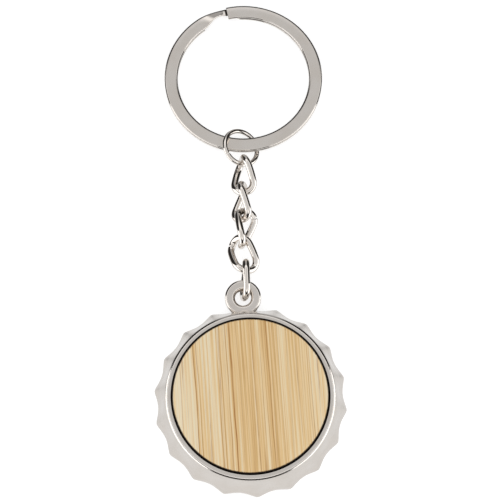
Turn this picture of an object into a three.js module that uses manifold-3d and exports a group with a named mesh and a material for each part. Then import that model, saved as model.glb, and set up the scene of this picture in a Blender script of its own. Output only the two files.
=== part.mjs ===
// A keychain bottle opener: a cast disc shaped like a crown cap, with a bamboo inlay in front and a
// cap-lifting cavity behind, hung from a flat split ring by a jump ring and five twisted chain links.
// Millimetres. It lies on a table at z = 0, bamboo up, and +Y runs from the disc to the split ring.

import * as THREE from "three";
import { mergeVertices } from "three/addons/utils/BufferGeometryUtils.js";
import Module from "manifold-3d";

const wasm = await Module();
wasm.setup();

const TAU = 2 * Math.PI;
const degrees = THREE.MathUtils.degToRad;

// Driving dimensions: the cast body
const teeth = 18;
const tipRadius = 18.6;
const bezelTop = 6.5;
const bezelFlatRadius = 15.55;
const shoulder = 0.7;
const pocketRadius = 15.15;
const pocketFloor = 4.7;
const cavityRadius = 15;
const cavityDepth = 3.6;
const lipThickness = 1.4;
const lipChordY = 7.5;
const clawWidth = 5;
const clawLength = 1.6;

// Driving dimensions: the eyelet, on the tooth that points at the chain
const eyeletDistance = 19.95;
const eyeletRadius = 3.54;
const eyeletHoleRadius = 1.55;
const eyeletThickness = 2.1;
const eyeletHeight = 2.75;
const eyeletChamfer = 0.45;
const holeChamfer = 0.6;

// Driving dimensions: the inlay
const bambooRadius = 14.88;
const bambooThickness = 1.85;
const padRadius = 14.4;
const padThickness = 0.2;
const seatGap = 0.02;

// Driving dimensions: the chain, where a link's length and width are measured outside the wire
const linkWire = 1.4;
const linkLength = 8.6;
const linkWidth = 5.6;
const linkTwist = 76;
const linkCut = 0.15;
const linkCutPlace = degrees(37);
const jumpWire = 0.95;
const jumpDiameter = 8.2;
const jumpCut = 0.15;

// Driving dimensions: the split ring, two coils of flat wire
const ringRadius = 16;
const ringBand = 2.65;
const coilThickness = 0.7;
const coilGap = 0.1;
const coilEdge = 0.12;
const coilStart = degrees(103);
const coilOverlapEnd = degrees(126);

// How the pieces lie: everything is measured from the disc's centre
const bodyTurn = degrees(4.2);
const ringCentreX = -1.45;
const jumpCentre = new THREE.Vector3(-1.9, 51.15, 2.23);
const jumpTilt = new THREE.Euler(degrees(-8), degrees(28), 0);
const ringCentreY = 66.4;
const ringTilt = degrees(2.2);

// How each link lies, from the eyelet to the jump ring: the place of its middle, and in degrees its
// roll about the chain's line, 0 being flat on the table, its pitch, its yaw on the table and, where
// it isn't linkTwist, its twist from end to end.
const linkPoses = [
  { name: "chain_link_5", place: [-1, 23.55, 2.9], roll: 84, pitch: -3, yaw: -2, twist: 15 },
  { name: "chain_link_4", place: [-1.5, 28.9, 2.12], roll: 7, pitch: -8, yaw: 21 },
  { name: "chain_link_3", place: [-1.17, 34.1, 2.82], roll: 121, pitch: -6, yaw: -9 },
  { name: "chain_link_2", place: [-1.7, 39.56, 2.72], roll: 71, pitch: 4, yaw: -2 },
  { name: "chain_link_1", place: [-1.38, 45.2, 2.6], roll: 44, pitch: -1, yaw: 2 },
];

const plated = { metalness: 1, roughness: 0.28 };
const materials = {
  body: new THREE.MeshStandardMaterial({ color: 0xc6c3c1, metalness: 1, roughness: 0.34 }),
  bamboo: new THREE.MeshStandardMaterial({ color: 0xd8b27c, metalness: 0, roughness: 0.55 }),
  pad: new THREE.MeshStandardMaterial({ color: 0xe9e6dc, metalness: 0, roughness: 0.9 }),
  chain: new THREE.MeshStandardMaterial({ color: 0xcfccc8, ...plated }),
  ring: new THREE.MeshStandardMaterial({ color: 0xbdbab9, ...plated }),
};

function namedMesh(name, geometry, material) {
  const mesh = new THREE.Mesh(geometry, material);
  mesh.name = name;
  return mesh;
}

// A manifold-3d solid of a closed geometry.
function solid(geometry) {
  const bare = geometry.clone();
  bare.deleteAttribute("normal");
  bare.deleteAttribute("uv");
  const merged = mergeVertices(bare, 1e-4);
  return new wasm.Manifold(
    new wasm.Mesh({
      numProp: 3,
      vertProperties: merged.attributes.position.array,
      triVerts: new Uint32Array(merged.index.array),
    }),
  );
}

function geometryOf(manifold) {
  const { vertProperties, triVerts } = manifold.getMesh();
  const geometry = new THREE.BufferGeometry();
  geometry.setAttribute("position", new THREE.BufferAttribute(vertProperties, 3));
  geometry.setIndex(new THREE.BufferAttribute(triVerts, 1));
  geometry.computeVertexNormals();
  return geometry;
}

// A closed surface through loops of points, each loop running the same way, with flat ends.
function loft(loops) {
  const count = loops[0].length;
  const indices = [];
  for (let level = 0; level + 1 < loops.length; level++) {
    for (let i = 0; i < count; i++) {
      const a = level * count + i;
      const b = level * count + ((i + 1) % count);
      indices.push(a, b, b + count, a, b + count, a + count);
    }
  }
  const last = (loops.length - 1) * count;
  for (let i = 1; i + 1 < count; i++) {
    indices.push(0, i + 1, i);
    indices.push(last, last + i, last + i + 1);
  }
  const geometry = new THREE.BufferGeometry().setFromPoints(loops.flat());
  geometry.setIndex(indices);
  geometry.computeVertexNormals();
  return geometry;
}

// A vertical disc of material between two heights.
function disc(radius, bottom, top, sides = 72) {
  const geometry = new THREE.CylinderGeometry(radius, radius, top - bottom, sides);
  geometry.rotateX(Math.PI / 2);
  geometry.translate(0, 0, (bottom + top) / 2);
  return geometry;
}

// A flat shape given thickness between two heights.
function plate(shape, bottom, top, curveSegments) {
  const geometry = new THREE.ExtrudeGeometry(shape, {
    depth: top - bottom,
    bevelEnabled: false,
    curveSegments,
  });
  geometry.translate(0, 0, bottom);
  return geometry;
}

// --- Body: a fluted skirt that flares out from the bezel's rounded shoulder to a row of teeth

// The skirt from the rear rim up, as height, radius at a tooth's tip, and depth of the hollow
// between two teeth. The hollows fade out below the bezel.
const skirtLevels = [
  [0, tipRadius - 0.7, 0.5],
  [0.3, tipRadius - 0.25, 0.66],
  [0.8, tipRadius, 0.76],
  [1.4, tipRadius - 0.06, 0.76],
  [2.3, tipRadius - 0.48, 0.68],
  [3.3, tipRadius - 1, 0.5],
  [4.3, tipRadius - 1.5, 0.3],
  [5.3, tipRadius - 2, 0.11],
];
const shoulderAngles = [27, 45, 65, 90].map(degrees);
const pointsPerTooth = 6;
const tipRounding = 0.18;

// 0 at a tooth's tip and 1 halfway to the next, with arcs between slightly rounded tips.
function hollow(angle) {
  const wave = Math.sin((teeth * angle) / 2);
  const lowest = tipRounding;
  const highest = Math.hypot(1, tipRounding);
  return (Math.hypot(wave, tipRounding) - lowest) / (highest - lowest);
}

function skirtLoop(height, radius, depth) {
  const loop = [];
  const count = teeth * pointsPerTooth;
  for (let i = 0; i < count; i++) {
    // One tooth is centred on +Y.
    const angle = (i / count) * TAU;
    const r = radius - depth * hollow(angle);
    loop.push(new THREE.Vector3(-r * Math.sin(angle), r * Math.cos(angle), height));
  }
  return loop;
}

function bodyOutside() {
  const loops = skirtLevels.map(([height, radius, depth]) => skirtLoop(height, radius, depth));
  shoulderAngles.forEach((angle) => {
    const height = bezelTop - shoulder * (1 - Math.sin(angle));
    loops.push(skirtLoop(height, bezelFlatRadius + shoulder * Math.cos(angle), 0));
  });
  return solid(loft(loops));
}

// The D-shaped mouth of the rear cavity: the lip's edge is hollow, with a claw in its middle.
function cavityMouth() {
  const side = Math.asin(lipChordY / cavityRadius);
  const halfClaw = clawWidth / 2;
  const edgeY = lipChordY + clawLength;
  const shape = new THREE.Shape();
  shape.absarc(0, 0, cavityRadius, Math.PI - side, side, false);
  shape.quadraticCurveTo(cavityRadius / 2, edgeY + 0.6, halfClaw + 0.5, edgeY);
  shape.lineTo(halfClaw, lipChordY);
  shape.lineTo(-halfClaw, lipChordY);
  shape.lineTo(-halfClaw - 0.5, edgeY);
  shape.quadraticCurveTo(
    -cavityRadius / 2,
    edgeY + 0.6,
    -cavityRadius * Math.cos(side),
    lipChordY,
  );
  return shape;
}

function eyelet() {
  const shape = new THREE.Shape();
  shape.absarc(0, eyeletDistance, eyeletRadius - eyeletChamfer, 0, TAU, false);
  const geometry = new THREE.ExtrudeGeometry(shape, {
    depth: eyeletThickness - 2 * eyeletChamfer,
    bevelThickness: eyeletChamfer,
    bevelSize: eyeletChamfer,
    bevelSegments: 2,
    curveSegments: 20,
  });
  geometry.translate(0, 0, eyeletHeight - eyeletThickness / 2 + eyeletChamfer);
  return solid(geometry);
}

// The hole through the eyelet, with its edges eased.
function eyeletHole() {
  const half = eyeletThickness / 2;
  const wide = eyeletHoleRadius + holeChamfer;
  const profile = [
    new THREE.Vector2(0, -eyeletHeight - 1),
    new THREE.Vector2(wide, -eyeletHeight - 1),
    new THREE.Vector2(wide, -half),
    new THREE.Vector2(eyeletHoleRadius, -half + holeChamfer),
    new THREE.Vector2(eyeletHoleRadius, half - holeChamfer),
    new THREE.Vector2(wide, half),
    new THREE.Vector2(wide, half + 2),
    new THREE.Vector2(0, half + 2),
  ];
  const geometry = new THREE.LatheGeometry(profile, 32);
  geometry.rotateX(Math.PI / 2);
  geometry.translate(0, eyeletDistance, eyeletHeight);
  return solid(geometry);
}

function bodyGeometry() {
  const undercut = solid(disc(cavityRadius, lipThickness, cavityDepth));
  const mouth = solid(plate(cavityMouth(), -1, lipThickness + 0.1, 24));
  const pocket = solid(disc(pocketRadius, pocketFloor, bezelTop + 1));
  const body = bodyOutside()
    .add(eyelet())
    .subtract(eyeletHole())
    .subtract(undercut)
    .subtract(mouth)
    .subtract(pocket);
  return geometryOf(body);
}

function inlayMeshes() {
  const padBottom = pocketFloor + seatGap;
  const bambooBottom = padBottom + padThickness + seatGap;
  return [
    namedMesh(
      "adhesive_pad",
      disc(padRadius, padBottom, padBottom + padThickness, 48),
      materials.pad,
    ),
    namedMesh(
      "bamboo_disc",
      disc(bambooRadius, bambooBottom, bambooBottom + bambooThickness),
      materials.bamboo,
    ),
  ];
}

// --- Chain: bent wire loops, each with the cut where its ends meet

// The middle line of a twisted oval link that runs along Y. Its ends are half circles.
class TwistedOval extends THREE.Curve {
  constructor(twist) {
    super();
    this.twist = twist;
  }

  getPoint(t, target = new THREE.Vector3()) {
    const radius = (linkWidth - linkWire) / 2;
    const straight = linkLength - linkWidth;
    const arc = Math.PI * radius;
    const around = 2 * (arc + straight);
    // The wire's ends meet a little way into the far half circle, from the link's -X side.
    const along = linkCut / 2 + t * (around - linkCut);
    let s = (straight + radius * linkCutPlace + along) % around;
    const turned = s >= arc + straight;
    if (turned) s -= arc + straight;
    let x = -radius;
    let y = s - straight / 2;
    if (s > straight) {
      const angle = (s - straight) / radius;
      x = -radius * Math.cos(angle);
      y = straight / 2 + radius * Math.sin(angle);
    }
    if (turned) {
      x = -x;
      y = -y;
    }
    const twist = (this.twist * y) / (linkLength - linkWire);
    return target.set(x * Math.cos(twist), y, x * Math.sin(twist));
  }
}

// The middle line of the jump ring. Its ends meet at the side next to the chain.
class CutCircle extends THREE.Curve {
  getPoint(t, target = new THREE.Vector3()) {
    const radius = (jumpDiameter - jumpWire) / 2;
    const cut = jumpCut / radius;
    const angle = degrees(215) + cut / 2 + t * (TAU - cut);
    return target.set(radius * Math.cos(angle), radius * Math.sin(angle), 0);
  }
}

function bentWire(curve, wire, steps) {
  const section = new THREE.Shape();
  section.absarc(0, 0, wire / 2, 0, TAU, false);
  return new THREE.ExtrudeGeometry(section, { steps, extrudePath: curve, curveSegments: 5 });
}

function chainLinks() {
  const chain = new THREE.Group();
  for (const { name, place, roll, pitch, yaw, twist = linkTwist } of linkPoses) {
    const oval = new TwistedOval(degrees(twist));
    const mesh = namedMesh(name, bentWire(oval, linkWire, 40), materials.chain);
    mesh.position.set(...place);
    // Roll comes first, and a positive one lifts the link's +X side.
    mesh.rotation.order = "ZXY";
    mesh.rotation.set(degrees(pitch), -degrees(roll), degrees(yaw));
    chain.add(mesh);
  }
  return chain;
}

function jumpRing() {
  const geometry = bentWire(new CutCircle(), jumpWire, 36);
  const mesh = namedMesh("jump_ring", geometry, materials.chain);
  mesh.position.copy(jumpCentre);
  mesh.rotation.copy(jumpTilt);
  return mesh;
}

// --- Split ring: one flat wire wound twice, passing from the upper coil to the lower one in the
// short stretch between the two free ends

// The flat wire's outline: its corners, eased, as distances from its middle.
function coilSection() {
  const w = ringBand / 2;
  const h = coilThickness / 2;
  return [
    [w, -h + coilEdge],
    [w, h - coilEdge],
    [w - coilEdge, h],
    [-w + coilEdge, h],
    [-w, h - coilEdge],
    [-w, -h + coilEdge],
    [-w + coilEdge, -h],
    [w - coilEdge, -h],
  ];
}

function splitRing() {
  const radius = ringRadius - ringBand / 2;
  const lift = (coilThickness + coilGap) / 2;
  const ramp = coilOverlapEnd - coilStart;
  const total = 2 * TAU - ramp;
  const steps = 96;
  const section = coilSection();
  const loops = [];
  for (let i = 0; i <= steps; i++) {
    // The wire is followed clockwise from the upper coil's free end.
    const turned = (i / steps) * total;
    const angle = coilStart - turned;
    const down = THREE.MathUtils.smoothstep(turned, TAU - ramp, TAU);
    const height = lift * (1 - 2 * down);
    loops.push(
      section.map(([out, up]) => {
        const r = radius + out;
        return new THREE.Vector3(r * Math.cos(angle), r * Math.sin(angle), height + up);
      }),
    );
  }
  const mesh = namedMesh("split_ring", loft(loops), materials.ring);
  const halfHeight = lift + coilThickness / 2;
  // The far side rests on the table, and the near side on the jump ring.
  mesh.rotation.x = -ringTilt;
  mesh.position.set(
    ringCentreX,
    ringCentreY,
    halfHeight * Math.cos(ringTilt) + ringRadius * Math.sin(ringTilt),
  );
  return mesh;
}

// --- Assembly

const opener = new THREE.Group();
opener.rotation.z = bodyTurn;
opener.add(namedMesh("opener_body", bodyGeometry(), materials.body), ...inlayMeshes());

const laidOut = new THREE.Group();
laidOut.add(opener, chainLinks(), jumpRing(), splitRing());

// The origin is on the table, under the middle of the whole keychain.
const keychain = new THREE.Group();
keychain.add(laidOut);
const box = new THREE.Box3().setFromObject(laidOut, true);
const middle = box.getCenter(new THREE.Vector3());
laidOut.position.set(-middle.x, -middle.y, -box.min.z);

export default keychain;
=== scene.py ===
"""A keychain bottle opener lying on a table: a fluted casting with a bamboo inlay, a chain of twisted
links, a jump ring and a flat split ring. Lengths are in millimetres and become metres in make_piece."""
import math

import bmesh
import bpy
import numpy as np
from mathutils import Matrix, Vector


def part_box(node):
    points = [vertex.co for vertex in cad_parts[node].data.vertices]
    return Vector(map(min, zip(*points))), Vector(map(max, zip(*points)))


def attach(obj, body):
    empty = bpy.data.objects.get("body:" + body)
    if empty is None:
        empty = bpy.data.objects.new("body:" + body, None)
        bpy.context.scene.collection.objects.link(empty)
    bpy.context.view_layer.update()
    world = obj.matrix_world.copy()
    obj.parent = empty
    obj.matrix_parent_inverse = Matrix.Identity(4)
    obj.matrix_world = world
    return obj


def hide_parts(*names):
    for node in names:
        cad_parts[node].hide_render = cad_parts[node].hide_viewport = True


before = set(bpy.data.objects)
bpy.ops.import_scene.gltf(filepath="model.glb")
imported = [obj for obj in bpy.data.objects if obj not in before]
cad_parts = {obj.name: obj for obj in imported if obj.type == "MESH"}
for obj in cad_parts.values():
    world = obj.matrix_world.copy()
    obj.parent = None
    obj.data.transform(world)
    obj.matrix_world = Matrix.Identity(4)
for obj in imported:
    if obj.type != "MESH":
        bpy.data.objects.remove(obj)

MM = 0.001
TAU = 2 * math.pi
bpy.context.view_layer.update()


def middle_of(node):
    """The middle of a CAD node's box, in millimetres."""
    low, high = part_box(node)
    return np.array((low + high) / 2) / MM


# --- Sizes shared with the CAD model

TEETH = 18
TIP_RADIUS = 18.6
BEZEL_TOP = 6.5
BEZEL_FLAT_RADIUS = 15.55
SHOULDER = 0.7
POCKET_RADIUS = 15.15
POCKET_FLOOR = 4.7
CAVITY_RADIUS = 15.0
CAVITY_DEPTH = 3.6
LIP_THICKNESS = 1.4
LIP_CHORD_Y = 7.5
CLAW_WIDTH = 5.0
CLAW_LENGTH = 1.6

EYELET_DISTANCE = 19.95
EYELET_RADIUS = 3.54
EYELET_HOLE_RADIUS = 1.55
EYELET_THICKNESS = 2.1
EYELET_HEIGHT = 2.75

BAMBOO_RADIUS = 14.88
PAD_RADIUS = 14.4

LINK_WIRE = 1.4
LINK_LENGTH = 8.6
LINK_WIDTH = 5.6
LINK_CUT = 0.15
LINK_CUT_PLACE = math.radians(37)
JUMP_WIRE = 0.95
JUMP_DIAMETER = 8.2
JUMP_CUT = 0.15
JUMP_TILT = (math.radians(-8), math.radians(28), 0.0)

RING_RADIUS = 16.0
RING_BAND = 2.65
COIL_THICKNESS = 0.7
COIL_GAP = 0.1
COIL_START = math.radians(103)
COIL_OVERLAP_END = math.radians(126)
RING_TILT = math.radians(2.2)

BODY_TURN = math.radians(4.2)

# How each link lies: its middle, measured from the disc's centre, and in degrees its roll about the
# chain's line, pitch, yaw on the table and twist from end to end. These numbers were fitted to the
# photo by a separate program, then rounded and moved slightly.
LINK_POSES = {
    "chain_link_1": ((-1.38, 45.20, 2.60), (44, -1, 2, 76)),
    "chain_link_2": ((-1.70, 39.56, 2.72), (71, 4, -2, 76)),
    "chain_link_3": ((-1.17, 34.10, 2.82), (121, -6, -9, 76)),
    "chain_link_4": ((-1.50, 28.90, 2.12), (7, -8, 21, 76)),
    "chain_link_5": ((-1.00, 23.55, 2.90), (84, -3, -2, 15)),
}

disc_centre = middle_of("bamboo_disc")
disc_centre[2] = 0.0


# --- Mesh tools

def make_piece(name, points, faces, sharp=35.0):
    """A smooth-shaded object of these points, in millimetres, with creases above the angle sharp."""
    mesh = bpy.data.meshes.new(name)
    mesh.from_pydata((np.asarray(points) * MM).tolist(), [], faces)
    mesh.validate()
    piece = bpy.data.objects.new(name, mesh)
    bpy.context.scene.collection.objects.link(piece)
    outward(mesh)
    shade(mesh, sharp)
    return piece


def outward(mesh):
    work = bmesh.new()
    work.from_mesh(mesh)
    bmesh.ops.recalc_face_normals(work, faces=work.faces)
    work.to_mesh(mesh)
    work.free()


def shade(mesh, sharp):
    mesh.shade_smooth()
    mesh.set_sharp_from_angle(angle=math.radians(sharp))


def bridge(loops, closed_path=False):
    """Points and faces of a surface through loops with equal counts. An open path gets flat ends."""
    count = len(loops[0])
    points = np.concatenate(loops)
    faces = []
    spans = len(loops) if closed_path else len(loops) - 1
    for level in range(spans):
        above = (level + 1) % len(loops)
        for i in range(count):
            j = (i + 1) % count
            faces.append((
                level * count + i,
                level * count + j,
                above * count + j,
                above * count + i,
            ))
    if not closed_path:
        last = (len(loops) - 1) * count
        faces.append(tuple(range(count - 1, -1, -1)))
        faces.append(tuple(range(last, last + count)))
    return points, faces


def turned(profile, sides, centre=(0, 0)):
    """Points and faces of a profile of (radius, height) pairs, from axis to axis, turned about Z."""
    angles = np.arange(sides) * TAU / sides
    points = [(centre[0], centre[1], profile[0][1])]
    for radius, height in profile[1:-1]:
        points += [
            (centre[0] + radius * math.cos(a), centre[1] + radius * math.sin(a), height)
            for a in angles
        ]
    points.append((centre[0], centre[1], profile[-1][1]))
    rings = len(profile) - 2
    faces = [(0, 1 + i, 1 + (i + 1) % sides) for i in range(sides)]
    for level in range(rings - 1):
        low = 1 + level * sides
        for i in range(sides):
            j = (i + 1) % sides
            faces.append((low + i, low + sides + i, low + sides + j, low + j))
    last = 1 + (rings - 1) * sides
    top = len(points) - 1
    faces += [(top, last + (i + 1) % sides, last + i) for i in range(sides)]
    return points, faces


def corner(centre_r, centre_z, radius, start, end, steps=5):
    """A rounded corner of a profile: an arc about (centre_r, centre_z), its angles in degrees."""
    return [
        (centre_r + radius * math.cos(a), centre_z + radius * math.sin(a))
        for a in np.radians(np.linspace(start, end, steps))
    ]


def smooth_path(places, count):
    """A Catmull-Rom curve through the rows of places."""
    places = np.asarray(places, float)
    padded = np.vstack([2 * places[0] - places[1], places, 2 * places[-1] - places[-2]])
    out = []
    for u in np.linspace(0, len(places) - 1, count):
        i = min(int(u), len(places) - 2)
        t = u - i
        a, b, c, d = padded[i:i + 4]
        out.append(0.5 * (
            2 * b + (c - a) * t
            + (2 * a - 5 * b + 4 * c - d) * t ** 2
            + (3 * b - a - 3 * c + d) * t ** 3
        ))
    return np.array(out)


def wire_along(line, wire, sides=24, ease=0.12):
    """A round wire along an open line, its section carried without twist, its ends slightly eased."""
    line = np.asarray(line, float)
    tangents = np.gradient(line, axis=0)
    tangents /= np.linalg.norm(tangents, axis=1)[:, None]
    side = np.cross(tangents[0], (0.0, 0.0, 1.0))
    if np.linalg.norm(side) < 0.1:
        side = np.cross(tangents[0], (1.0, 0.0, 0.0))
    loops = []
    angles = np.arange(sides) * TAU / sides
    last = len(line) - 1
    for i, (centre, tangent) in enumerate(zip(line, tangents)):
        side = side - tangent * side.dot(tangent)
        side /= np.linalg.norm(side)
        other = np.cross(tangent, side)
        circle = np.outer(np.cos(angles), side) + np.outer(np.sin(angles), other)
        if i == 0:
            loops.append(centre + circle * (wire / 2 - ease))
            centre = centre + tangent * ease
        if i == last:
            loops.append(centre - tangent * ease + circle * wire / 2)
            loops.append(centre + circle * (wire / 2 - ease))
        else:
            loops.append(centre + circle * wire / 2)
    return bridge(loops)


def combine(piece, other, operation):
    """Applies an exact boolean of other to piece and deletes other."""
    step = piece.modifiers.new("cut", "BOOLEAN")
    step.operation = operation
    step.solver = "EXACT"
    step.object = other
    graph = bpy.context.evaluated_depsgraph_get()
    made = bpy.data.meshes.new_from_object(piece.evaluated_get(graph))
    piece.modifiers.clear()
    piece.data = made
    bpy.data.objects.remove(other)


def settle(piece, body, node, material):
    """Gives a piece its material, lets it ride on its body and stand for its CAD node."""
    piece.data.materials.clear()
    piece.data.materials.append(material)
    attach(piece, body)
    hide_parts(node)
    return piece


# --- Material tools

class Nodes:
    """A small helper that adds shader nodes to a material or the world and links them."""

    def __init__(self, owner):
        self.owner = owner
        owner.use_nodes = True
        self.tree = owner.node_tree
        self.shader = self.tree.nodes.get("Principled BSDF")

    def add(self, kind, **settings):
        node = self.tree.nodes.new(kind)
        for key, value in settings.items():
            setattr(node, key, value)
        return node

    def link(self, start, end):
        self.tree.links.new(start, end)

    def feed(self, socket, value):
        if isinstance(value, bpy.types.NodeSocket):
            self.link(value, socket)
        else:
            socket.default_value = value

    def math(self, operation, a, b=0.0, clamp=False):
        node = self.add("ShaderNodeMath", operation=operation, use_clamp=clamp)
        self.feed(node.inputs[0], a)
        self.feed(node.inputs[1], b)
        return node.outputs[0]

    def place(self, centre=(0, 0, 0), turn=0.0, scale=(1, 1, 1), tilt=0.0):
        """The piece's own coordinates in millimetres from centre, turned about Z and tilted about X,
        then scaled."""
        coordinates = self.add("ShaderNodeTexCoord")
        shift = self.add("ShaderNodeMapping", vector_type="TEXTURE")
        shift.inputs["Location"].default_value = [c * MM for c in centre]
        shift.inputs["Rotation"].default_value = (tilt, 0, turn)
        shift.inputs["Scale"].default_value = (MM, MM, MM)
        self.link(coordinates.outputs["Object"], shift.inputs["Vector"])
        stretch = self.add("ShaderNodeVectorMath", operation="MULTIPLY")
        self.link(shift.outputs[0], stretch.inputs[0])
        stretch.inputs[1].default_value = scale
        return stretch.outputs[0]

    def noise(self, vector, scale=1.0, detail=2.0, roughness=0.5, distortion=0.0):
        node = self.add("ShaderNodeTexNoise")
        self.link(vector, node.inputs["Vector"])
        node.inputs["Scale"].default_value = scale
        node.inputs["Detail"].default_value = detail
        node.inputs["Roughness"].default_value = roughness
        node.inputs["Distortion"].default_value = distortion
        return node.outputs["Fac"]

    def span(self, value, low, high, to_low, to_high):
        node = self.add("ShaderNodeMapRange")
        node.clamp = True
        self.link(value, node.inputs["Value"])
        node.inputs["From Min"].default_value = low
        node.inputs["From Max"].default_value = high
        node.inputs["To Min"].default_value = to_low
        node.inputs["To Max"].default_value = to_high
        return node.outputs["Result"]

    def ramp(self, value, stops):
        node = self.add("ShaderNodeValToRGB")
        self.link(value, node.inputs["Fac"])
        points = node.color_ramp.elements
        while len(points) < len(stops):
            points.new(0.5)
        for point, (position, colour) in zip(points, stops):
            point.position = position
            point.color = (*colour, 1)
        return node.outputs["Color"]

    def mix(self, factor, a, b, blend="MIX"):
        node = self.add("ShaderNodeMix", data_type="RGBA", blend_type=blend)
        self.feed(node.inputs["Factor"], factor)
        self.feed(node.inputs["A"], a)
        self.feed(node.inputs["B"], b)
        return node.outputs["Result"]

    def bump(self, height, strength, distance, under=None):
        node = self.add("ShaderNodeBump")
        node.inputs["Strength"].default_value = strength
        node.inputs["Distance"].default_value = distance * MM
        self.link(height, node.inputs["Height"])
        if under is not None:
            self.link(under, node.inputs["Normal"])
        return node.outputs["Normal"]


def grey(level, warmth=0.0):
    """A neutral colour, drawn towards yellow by warmth."""
    return (level, level * (1 - warmth), level * (1 - 2 * warmth), 1)


def plated_metal(name, tone, roughness, orange_peel, scratches, painted_shade_and_reflection=None):
    """Nickel plating: tone and roughness drift slowly, with polishing scratches and a faint ripple.
    An optional mask function paints the metal dull and black where it is 1: painted shade and painted
    reflection."""
    n = Nodes(bpy.data.materials.new(name))
    place = n.place()
    drift = n.noise(place, scale=0.25, detail=3)
    fine = n.noise(place, scale=6.0, detail=4, roughness=0.6)
    brushed = n.noise(n.place(turn=math.radians(20), scale=(14, 0.5, 14)), scale=1.0, detail=3)
    colour = n.mix(n.span(drift, 0.35, 0.65, 0, 1), grey(tone * 0.96, 0.07), grey(tone, 0.055))
    colour = n.mix(n.span(fine, 0.62, 0.8, 0, 0.25), colour, grey(tone * 0.8, 0.07))
    if painted_shade_and_reflection:
        mask = painted_shade_and_reflection(n)
        # Where the mask is 1 the metal is painted black and dull, as painted shade and painted
        # reflection.
        colour = n.mix(mask, colour, (0.012, 0.008, 0.005, 1))
        n.link(n.math("SUBTRACT", 1.0, mask), n.shader.inputs["Metallic"])
    else:
        n.shader.inputs["Metallic"].default_value = 1.0
    n.link(colour, n.shader.inputs["Base Color"])
    rough = n.span(n.math("ADD", fine, brushed), 0.7, 1.3, roughness * 0.85, roughness * 1.2)
    if painted_shade_and_reflection:
        rough = n.math("MAXIMUM", rough, mask)
    n.link(rough, n.shader.inputs["Roughness"])
    ripple = n.bump(n.noise(place, scale=1.1, detail=2), orange_peel, 0.05)
    n.link(n.bump(brushed, scratches, 0.01, ripple), n.shader.inputs["Normal"])
    return n.owner


def pocket_painted_shade(n):
    """1 on the pocket's wall and floor, where the metal is painted black and dull: painted shade in the
    gap, the black line round the inlay.
    """
    split = n.add("ShaderNodeSeparateXYZ")
    n.link(n.place(disc_centre), split.inputs[0])
    x, y, height = split.outputs
    far = n.math("SQRT", n.math("ADD", n.math("MULTIPLY", x, x), n.math("MULTIPLY", y, y)))
    inside = n.span(far, POCKET_RADIUS + 0.01, POCKET_RADIUS + 0.04, 1, 0)
    return n.math("MULTIPLY", inside, n.span(height, 4.1, 4.3, 0, 1))


def coil_lines(n):
    """Painted shade and painted reflection on the split ring, as dark lines: painted shade in the groove
    between its coils and in the gap beside the upper coil's end, and painted dark reflection on the far
    side of its outer edge and the near side of its inner one. The painted reflection is fixed to the
    ring."""
    split = n.add("ShaderNodeSeparateXYZ")
    n.link(n.place(middle_of("split_ring"), tilt=-RING_TILT), split.inputs[0])
    x, y, height = split.outputs
    far = n.math("SQRT", n.math("ADD", n.math("MULTIPLY", x, x), n.math("MULTIPLY", y, y)))
    middle = RING_RADIUS - RING_BAND / 2
    off = n.math("ABSOLUTE", n.math("SUBTRACT", far, middle))
    # Painted shade in the groove between the two coils.
    groove = n.span(n.math("ABSOLUTE", height), 0.10, 0.20, 1, 0)
    groove = n.math("MULTIPLY", groove, n.span(off, 0.9, 1.0, 0, 1))
    angle = n.math("ARCTAN2", y, x)
    # Painted shade in the gap beside the upper coil's end.
    beside = n.math(
        "MULTIPLY",
        n.span(angle, COIL_START - 0.002, COIL_START + 0.002, 0, 1),
        n.span(angle, COIL_START + 0.015, COIL_START + 0.035, 1, 0),
    )
    half = RING_BAND / 2
    # Painted dark reflection on the far side of the outer edge and the near side of the inner edge.
    turned_away = n.math("MULTIPLY", n.math("SUBTRACT", far, middle), y)
    edge = n.math("MULTIPLY", n.span(off, half - 0.42, half - 0.30, 0, 0.95),
                  n.span(turned_away, -1, 4, 0, 1))
    return n.math("MAXIMUM", n.math("MAXIMUM", groove, beside), edge)


# The bamboo's lightness across the grain, from the left edge of the disc to its right one, and its
# dark vessel lines: distance from the middle, half width and strength.
BAMBOO_TONES = [
    (-15.0, 0.94), (-10.4, 0.90), (-10.0, 0.66), (-9.2, 0.86), (-6.0, 0.86), (-5.2, 0.70),
    (-4.4, 0.76), (-2.6, 0.68), (-0.5, 0.60), (2.4, 0.70), (4.2, 0.58), (5.5, 0.70),
    (9.0, 0.74), (13.0, 0.84), (15.0, 0.84),
]
VESSELS = [
    (-10.3, 0.16, 0.80), (-9.6, 0.14, 0.60), (-5.7, 0.14, 0.60), (-5.1, 0.12, 0.60),
    (-4.0, 0.13, 0.60), (-3.2, 0.17, 1.00), (-1.9, 0.11, 0.35), (3.0, 0.11, 0.45),
    (3.85, 0.15, 0.85), (4.4, 0.11, 0.50), (7.6, 0.10, 0.30), (11.2, 0.10, 0.40),
]
GRAIN_TURN = math.radians(4.0)


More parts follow.
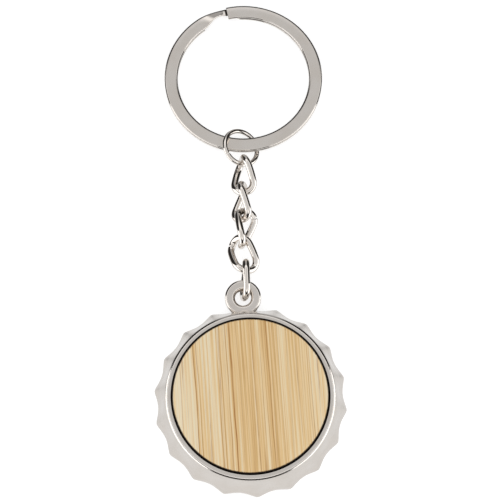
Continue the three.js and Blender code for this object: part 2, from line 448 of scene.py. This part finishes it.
def bamboo_wood():
    """Pale bamboo: strips and dark vessel lines along the grain, and a black rim, taken for a burn."""
    n = Nodes(bpy.data.materials.new("bamboo_wood"))

    def grain(across, along, detail=2, roughness=0.5):
        vector = n.place(disc_centre, GRAIN_TURN, (across, along, 1))
        return n.noise(vector, 1.0, detail, roughness)

    split = n.add("ShaderNodeSeparateXYZ")
    n.link(n.place(disc_centre, GRAIN_TURN), split.inputs[0])
    wander = n.math("ADD", n.span(grain(0.4, 0.05), 0.2, 0.8, -0.3, 0.3), split.outputs["X"])
    half = BAMBOO_TONES[-1][0]
    tone = n.ramp(
        n.span(wander, -half, half, 0, 1),
        [((x + half) / (2 * half), (t, t, t)) for x, t in BAMBOO_TONES],
    )
    strips = grain(0.9, 0.012, 1)
    fibres = grain(2.8, 0.022, 2, 0.6)
    pores = grain(9.0, 0.25, 2)
    lightness = n.math("ADD", tone, n.span(strips, 0.3, 0.7, -0.10, 0.10))
    lightness = n.math("ADD", lightness, n.span(fibres, 0.32, 0.68, -0.32, 0.28))
    lightness = n.math("ADD", lightness, n.span(pores, 0.3, 0.7, -0.06, 0.06), clamp=True)
    colour = n.ramp(lightness, [
        (0.00, (0.50, 0.270, 0.085)),
        (0.30, (0.70, 0.440, 0.180)),
        (0.60, (0.86, 0.600, 0.295)),
        (0.85, (0.92, 0.720, 0.435)),
        (1.00, (0.93, 0.800, 0.570)),
    ])
    # Finer vessels follow the level lines of a long, narrow noise, and fade in and out.
    level = n.math("ABSOLUTE", n.math("SUBTRACT", grain(1.5, 0.008, 1), 0.5))
    dark = n.math("MULTIPLY", n.span(level, 0, 0.02, 0.75, 0), n.span(pores, 0.35, 0.6, 0.3, 1))
    for place, width, strength in VESSELS:
        off = n.math("ABSOLUTE", n.math("SUBTRACT", wander, place))
        line = n.math("MULTIPLY", n.span(off, width * 0.3, width, strength, 0),
                      n.span(grain(1.0, 0.09), 0.3, 0.55, 0.45, 1))
        dark = n.math("MAXIMUM", dark, line)
    colour = n.mix(dark, colour, (0.44, 0.19, 0.045, 1))
    x_squared = n.math("POWER", split.outputs["X"], 2.0)
    y_squared = n.math("POWER", split.outputs["Y"], 2.0)
    far = n.math("SQRT", n.math("ADD", x_squared, y_squared))
    ragged = n.math("ADD", far, n.span(pores, 0.2, 0.8, -0.05, 0.05))
    burnt = n.span(ragged, BAMBOO_RADIUS - 0.28, BAMBOO_RADIUS - 0.12, 0, 1)
    colour = n.mix(burnt, colour, (0.012, 0.006, 0.003, 1))
    n.link(colour, n.shader.inputs["Base Color"])
    roughness = n.math("MAXIMUM", n.span(fibres, 0.3, 0.7, 0.52, 0.64), n.math("MULTIPLY", burnt, 0.9))
    n.link(roughness, n.shader.inputs["Roughness"])
    n.shader.inputs["Specular IOR Level"].default_value = 0.25
    n.link(n.bump(fibres, 0.2, 0.04), n.shader.inputs["Normal"])
    return n.owner


def adhesive_film():
    """White foam tape with a fine open grain."""
    n = Nodes(bpy.data.materials.new("adhesive_film"))
    grain = n.noise(n.place(), scale=5.0, detail=4)
    n.link(
        n.mix(n.span(grain, 0.35, 0.65, 0, 1), (0.78, 0.75, 0.66, 1), (0.88, 0.86, 0.80, 1)),
        n.shader.inputs["Base Color"],
    )
    n.shader.inputs["Roughness"].default_value = 0.8
    n.link(n.bump(grain, 0.4, 0.05), n.shader.inputs["Normal"])
    return n.owner


def pale_floor():
    """A light table: a pale surface that also glows, so that shadows on it stay faint."""
    n = Nodes(bpy.data.materials.new("pale_floor"))
    speck = n.noise(n.place(), scale=0.4, detail=3)
    n.link(
        n.mix(speck, (0.48, 0.48, 0.48, 1), (0.52, 0.52, 0.52, 1)),
        n.shader.inputs["Base Color"],
    )
    n.shader.inputs["Roughness"].default_value = 0.9
    n.shader.inputs["Specular IOR Level"].default_value = 0.0
    n.shader.inputs["Emission Color"].default_value = (1, 1, 1, 1)
    n.shader.inputs["Emission Strength"].default_value = 0.72
    return n.owner


# --- The casting

# The skirt from the rear rim up: height, radius at a tooth's tip, depth of the hollows between.
SKIRT_LEVELS = [
    (0.0, TIP_RADIUS - 0.7, 0.5),
    (0.3, TIP_RADIUS - 0.25, 0.66),
    (0.8, TIP_RADIUS, 0.76),
    (1.4, TIP_RADIUS - 0.06, 0.76),
    (2.3, TIP_RADIUS - 0.48, 0.68),
    (3.3, TIP_RADIUS - 1.0, 0.5),
    (4.3, TIP_RADIUS - 1.5, 0.3),
    (5.3, TIP_RADIUS - 2.0, 0.11),
    (6.1, TIP_RADIUS - 2.41, 0.0),
]
POINTS_PER_TOOTH = 24
TIP_ROUNDING = 0.18


def hollow(angle):
    """0 at a tooth's tip and 1 halfway to the next, with arcs between slightly rounded tips."""
    wave = np.sin(TEETH * angle / 2)
    highest = math.hypot(1, TIP_ROUNDING)
    return (np.hypot(wave, TIP_ROUNDING) - TIP_ROUNDING) / (highest - TIP_ROUNDING)


def casting_shell():
    """The fluted shell with its pocket in front and its cavity behind, as one turned surface."""
    levels = [tuple(row) for row in smooth_path(SKIRT_LEVELS, 46)]
    inner = [(CAVITY_DEPTH, 0.0)]
    inner += [(z, r) for r, z in corner(CAVITY_RADIUS - 0.3, CAVITY_DEPTH - 0.3, 0.3, 90, 0)]
    inner += [(z, r) for r, z in corner(CAVITY_RADIUS + 0.15, 0.15, 0.15, 180, 270, 4)]
    rim = [(z, r, 0.0) for z, r in inner]
    shoulder = corner(BEZEL_FLAT_RADIUS, BEZEL_TOP - SHOULDER, SHOULDER, 30, 90, 12)
    bezel = [(z, r, 0.0) for r, z in shoulder]
    bezel += [(z, r, 0.0) for r, z in corner(POCKET_RADIUS + 0.05, BEZEL_TOP - 0.05, 0.05, 90, 180, 4)]
    bezel += [(POCKET_FLOOR, POCKET_RADIUS, 0.0), (POCKET_FLOOR, 0.0, 0.0)]
    rows = rim + levels + bezel
    count = TEETH * POINTS_PER_TOOTH
    angles = np.arange(count) * TAU / count
    shape = hollow(angles)
    turn = angles + BODY_TURN
    points = [(0, 0, rows[0][0])]
    for z, r, depth in rows[1:-1]:
        radius = r - depth * shape
        points += zip(-radius * np.sin(turn), radius * np.cos(turn), np.full(count, z))
    points.append((0, 0, rows[-1][0]))
    rings = len(rows) - 2
    faces = [(0, 1 + (i + 1) % count, 1 + i) for i in range(count)]
    for level in range(rings - 1):
        low = 1 + level * count
        for i in range(count):
            j = (i + 1) % count
            faces.append((low + i, low + j, low + count + j, low + count + i))
    last = 1 + (rings - 1) * count
    faces += [(len(points) - 1, last + i, last + (i + 1) % count) for i in range(count)]
    return np.array(points, float) + disc_centre, faces


def turn_with_body(points):
    """Points given about the disc's centre, turned with the body and put in place."""
    c, s = math.cos(BODY_TURN), math.sin(BODY_TURN)
    spin = np.array([[c, -s, 0], [s, c, 0], [0, 0, 1]])
    return np.asarray(points, float) @ spin.T + disc_centre


def eyelet_ring():
    """The eyelet as a turned ring with rounded edges."""
    half = EYELET_THICKNESS / 2
    ease, mouth = 0.6, 0.75
    out = EYELET_RADIUS - ease
    hole = EYELET_HOLE_RADIUS + mouth
    section = corner(out, half - ease, ease, 0, 90, 9) + corner(hole, half - mouth, mouth, 90, 180, 9)
    section += corner(hole, mouth - half, mouth, 180, 270, 9)
    section += corner(out, ease - half, ease, 270, 360, 9)
    loops = []
    for a in np.arange(96) * TAU / 96:
        loops.append(np.array([
            (r * math.cos(a), EYELET_DISTANCE + r * math.sin(a), EYELET_HEIGHT + z)
            for r, z in section
        ]))
    points, faces = bridge(loops, closed_path=True)
    return turn_with_body(points), faces


def upright(outline, bottom, top):
    """Points and faces of a flat outline given thickness."""
    low = np.array([(x, y, bottom) for x, y in outline])
    high = np.array([(x, y, top) for x, y in outline])
    return bridge([low, high])


def eyelet_cutter():
    angles = np.arange(96) * TAU / 96
    radius = EYELET_HOLE_RADIUS
    outline = [(radius * math.cos(a), EYELET_DISTANCE + radius * math.sin(a)) for a in angles]
    points, faces = upright(outline, -1, EYELET_HEIGHT + EYELET_THICKNESS)
    return turn_with_body(points), faces


def lip_plate():
    """The prying lip: a half-moon plate with a hollow edge and a small claw in its middle."""
    reach = CAVITY_RADIUS + 0.5
    side = math.asin(LIP_CHORD_Y / CAVITY_RADIUS)
    outline = [(reach * math.cos(a), reach * math.sin(a)) for a in np.linspace(side, math.pi - side, 60)]
    half_claw = CLAW_WIDTH / 2
    edge = LIP_CHORD_Y + CLAW_LENGTH
    end = np.array((CAVITY_RADIUS * math.cos(side), LIP_CHORD_Y))
    pull = np.array((CAVITY_RADIUS / 2, edge + 0.6))
    root = np.array((half_claw + 0.5, edge))
    curve = [(1 - t) ** 2 * end + 2 * t * (1 - t) * pull + t * t * root for t in np.linspace(0, 1, 16)]
    right = [tuple(p) for p in curve] + [(half_claw, LIP_CHORD_Y)]
    left = [(-x, y) for x, y in right]
    outline += left + right[::-1]
    points, faces = upright(outline, 0.0, LIP_THICKNESS)
    return turn_with_body(points), faces


def build_casting(material):
    casting = make_piece("opener_casting", *casting_shell())
    combine(casting, make_piece("lip", *lip_plate()), "UNION")
    combine(casting, make_piece("cutter", *eyelet_cutter()), "DIFFERENCE")
    combine(casting, make_piece("eyelet", *eyelet_ring()), "UNION")
    shade(casting.data, 32)
    return settle(casting, "opener", "opener_body", material)


# --- The inlay

def build_inlay(wood, film):
    low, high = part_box("bamboo_disc")
    bottom, top = low.z / MM, high.z / MM
    ease = 0.1
    profile = [(0, bottom)]
    profile += corner(BAMBOO_RADIUS - ease, bottom + ease, ease, 270, 360, 4)
    profile += corner(BAMBOO_RADIUS - ease, top - ease, ease, 0, 90, 4)
    profile += [(radius, top) for radius in (12.0, 8.0, 4.0)] + [(0, top)]
    bamboo = make_piece("bamboo_inlay", *turned(profile, 180, disc_centre))
    settle(bamboo, "opener", "bamboo_disc", wood)

    low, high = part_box("adhesive_pad")
    bottom, top = low.z / MM, high.z / MM
    profile = [(0, bottom), (PAD_RADIUS, bottom), (PAD_RADIUS, top), (0, top)]
    pad = make_piece("adhesive_film", *turned(profile, 96, disc_centre))
    settle(pad, "opener", "adhesive_pad", film)


# --- The chain

def twisted_oval(full_twist, steps=160):
    """The middle line of a link along Y: an oval with half-circle ends, twisted end to end."""
    radius = (LINK_WIDTH - LINK_WIRE) / 2
    straight = LINK_LENGTH - LINK_WIDTH
    arc = math.pi * radius
    around = 2 * (arc + straight)
    line = []
    for along in np.linspace(LINK_CUT / 2, around - LINK_CUT / 2, steps):
        s = (straight + radius * LINK_CUT_PLACE + along) % around
        sign = 1
        if s >= arc + straight:
            s -= arc + straight
            sign = -1
        x, y = -radius, s - straight / 2
        if s > straight:
            angle = (s - straight) / radius
            x, y = -radius * math.cos(angle), straight / 2 + radius * math.sin(angle)
        x, y = sign * x, sign * y
        twist = full_twist * y / (LINK_LENGTH - LINK_WIRE)
        line.append((x * math.cos(twist), y, x * math.sin(twist)))
    return np.array(line)


def build_links(material):
    for node, (place, angles) in LINK_POSES.items():
        roll, pitch, yaw, twist = (math.radians(angle) for angle in angles)
        turn = Matrix.Rotation(yaw, 3, "Z") @ Matrix.Rotation(pitch, 3, "X")
        turn = turn @ Matrix.Rotation(-roll, 3, "Y")
        line = twisted_oval(twist) @ np.array(turn).T + disc_centre + place
        piece = make_piece(node.replace("chain_", "wire_"), *wire_along(line, LINK_WIRE))
        settle(piece, node.replace("chain_", ""), node, material)


def build_jump_ring(material):
    radius = (JUMP_DIAMETER - JUMP_WIRE) / 2
    cut = JUMP_CUT / radius
    angles = math.radians(215) + np.linspace(cut / 2, TAU - cut / 2, 140)
    line = np.array([(radius * math.cos(a), radius * math.sin(a), 0.0) for a in angles])
    pose = Matrix.Rotation(JUMP_TILT[0], 3, "X") @ Matrix.Rotation(JUMP_TILT[1], 3, "Y")
    line = line @ np.array(pose).T + middle_of("jump_ring")
    piece = make_piece("wire_jump_ring", *wire_along(line, JUMP_WIRE, ease=0.08))
    settle(piece, "jump_ring", "jump_ring", material)


# --- The split ring

PINCH = 0.48
LEAN = math.radians(16)


def rise(value, start, end):
    """0 before start and 1 after end, with a smooth step between."""
    t = min(max((value - start) / (end - start), 0.0), 1.0)
    return t * t * (3 - 2 * t)


def build_split_ring(material):
    radius = RING_RADIUS - RING_BAND / 2
    lift = (COIL_THICKNESS + COIL_GAP) / 2
    ramp = COIL_OVERLAP_END - COIL_START
    total = 2 * TAU - ramp
    half_w, half_h = RING_BAND / 2, COIL_THICKNESS / 2
    ease = 0.34
    section = corner(half_w - ease, half_h - ease, ease, 0, 90, 9)
    section += corner(ease - half_w, half_h - ease, ease, 90, 180, 9)
    section += corner(ease - half_w, ease - half_h, ease, 180, 270, 9)
    section += corner(half_w - ease, ease - half_h, ease, 270, 360, 9)
    tilt = np.array(Matrix.Rotation(-RING_TILT, 3, "X")).T
    loops = []
    for turned_by in np.linspace(0, total, 560):
        angle = COIL_START - turned_by
        t = (turned_by - TAU + ramp) / ramp
        fall = min(max(t, 0.0), 1.0)
        height = lift * (1 - 2 * fall * fall * (3 - 2 * fall))
        pinch = PINCH * rise(t, 0.0, 0.8) * (1 - rise(t, 1.0, 1.5))
        lean = LEAN * rise(t, 0.05, 0.6) * (1 - rise(t, 0.7, 1.05))
        loop = []
        for out, up in section:
            inward = (half_w - out) * (1 - pinch)
            across = half_w - inward * math.cos(lean) - up * math.sin(lean) * 0.5
            level = height + inward * math.sin(lean) + up
            loop.append((
                (radius + across) * math.cos(angle),
                (radius + across) * math.sin(angle),
                level,
            ))
        loops.append(np.array(loop) @ tilt + middle_of("split_ring"))
    piece = make_piece("flat_split_ring", *bridge(loops))
    settle(piece, "split_ring", "split_ring", material)


# --- Floor, light and camera

# The studio's light by direction, with heights as the sine of the angle above the horizon: a soft
# top, a bright ring round it, a dark band at the horizon that is grey at the back, and a light
# table below the band.
TOP_LIGHT = 0.75
RING_HIGH = 0.82
RING_LIGHT = 1.35
BAND_HIGH = 0.62
BAND_LIGHT = 0.03
BACK_LIGHT = 0.5
BAND_LOW_FRONT = -0.20
BAND_LOW_BACK = -0.72
TABLE_LIGHT_FRONT = 0.98
TABLE_LIGHT_BACK = 0.88

# The panels, in metres: they run from beside the chain to well in front of the disc.
PANEL_LIGHT = 1.9
PANEL_X = 0.12
PANEL_Y = -0.09
PANEL_Z = 0.015
PANEL_LENGTH = 0.24
PANEL_HEIGHT = 0.11


def build_studio():
    bpy.ops.mesh.primitive_plane_add(size=6, location=(0, 0, 0))
    floor = bpy.context.object
    floor.name = "floor"
    floor.data.materials.append(pale_floor())
    floor.visible_glossy = False
    floor.visible_shadow = False

    world = bpy.data.worlds.new("studio")
    bpy.context.scene.world = world
    n = Nodes(world)
    split = n.add("ShaderNodeSeparateXYZ")
    n.link(n.add("ShaderNodeTexCoord").outputs["Generated"], split.inputs[0])
    x, y, height = split.outputs
    level = n.math("SQRT", n.math("ADD", n.math("MULTIPLY", x, x), n.math("MULTIPLY", y, y)))
    level = n.math("MAXIMUM", level, 0.001)
    backward = n.math("DIVIDE", y, level)
    band = n.mix(n.span(backward, 0.93, 0.97, 0, 1), grey(BAND_LIGHT, 0.06), grey(BACK_LIGHT))
    band_low = n.span(backward, -1, 1, BAND_LOW_FRONT, BAND_LOW_BACK)
    above = n.span(n.math("SUBTRACT", height, band_low), -0.08, 0.06, 0, 1)
    table = n.mix(n.span(backward, -1, 1, 1, 0), grey(TABLE_LIGHT_BACK), grey(TABLE_LIGHT_FRONT))
    light = n.mix(above, table, band)
    light = n.mix(n.span(height, BAND_HIGH - 0.06, BAND_HIGH + 0.06, 0, 1), light, grey(RING_LIGHT))
    light = n.mix(n.span(height, RING_HIGH - 0.05, RING_HIGH + 0.05, 0, 1), light, grey(TOP_LIGHT))
    direct = n.add("ShaderNodeLightPath").outputs["Is Camera Ray"]
    n.link(n.mix(direct, light, grey(1.0)), n.tree.nodes["Background"].inputs["Color"])


def build_panel(name, side):
    """A soft panel beside the opener, upright and facing it."""
    light = bpy.data.lights.new(name, "AREA")
    light.shape = "RECTANGLE"
    light.size = PANEL_HEIGHT
    light.size_y = PANEL_LENGTH
    light.energy = PANEL_LIGHT * math.pi * PANEL_HEIGHT * PANEL_LENGTH
    panel = bpy.data.objects.new(name, light)
    bpy.context.scene.collection.objects.link(panel)
    panel.location = (side * PANEL_X, PANEL_Y, PANEL_Z)
    panel.rotation_euler = (0, side * math.pi / 2, 0)
    panel.visible_camera = False


CAMERA_TILT = math.radians(15.88)
CAMERA_DISTANCE = 0.3311
CAMERA_TARGET = Vector((-0.0001, -0.00145, 0.0))


def build_camera():
    camera = bpy.data.cameras.new("camera")
    camera.sensor_width = 36
    camera.lens = 120.2
    camera.clip_start = 0.01
    eye = bpy.data.objects.new("camera", camera)
    bpy.context.scene.collection.objects.link(eye)
    back = Vector((0, -math.sin(CAMERA_TILT), math.cos(CAMERA_TILT)))
    eye.location = CAMERA_TARGET + back * CAMERA_DISTANCE
    eye.rotation_euler = (CAMERA_TILT, 0, 0)
    bpy.context.scene.camera = eye
    bpy.context.scene.view_settings.view_transform = "Standard"


build_camera()
build_studio()
build_panel("left_panel", -1)
build_panel("right_panel", 1)
# The body's plating gets painted shade in its pocket. The ring's plating gets painted shade and painted
# reflection along its lines.
body_metal = plated_metal("body_plating", 0.68, 0.17, 0.08, 0.10, pocket_painted_shade)
chain_metal = plated_metal("chain_plating", 0.74, 0.07, 0.12, 0.05)
ring_metal = plated_metal("ring_plating", 0.67, 0.09, 0.08, 0.10, coil_lines)
build_casting(body_metal)
build_inlay(bamboo_wood(), adhesive_film())
build_links(chain_metal)
build_jump_ring(chain_metal)
build_split_ring(ring_metal)
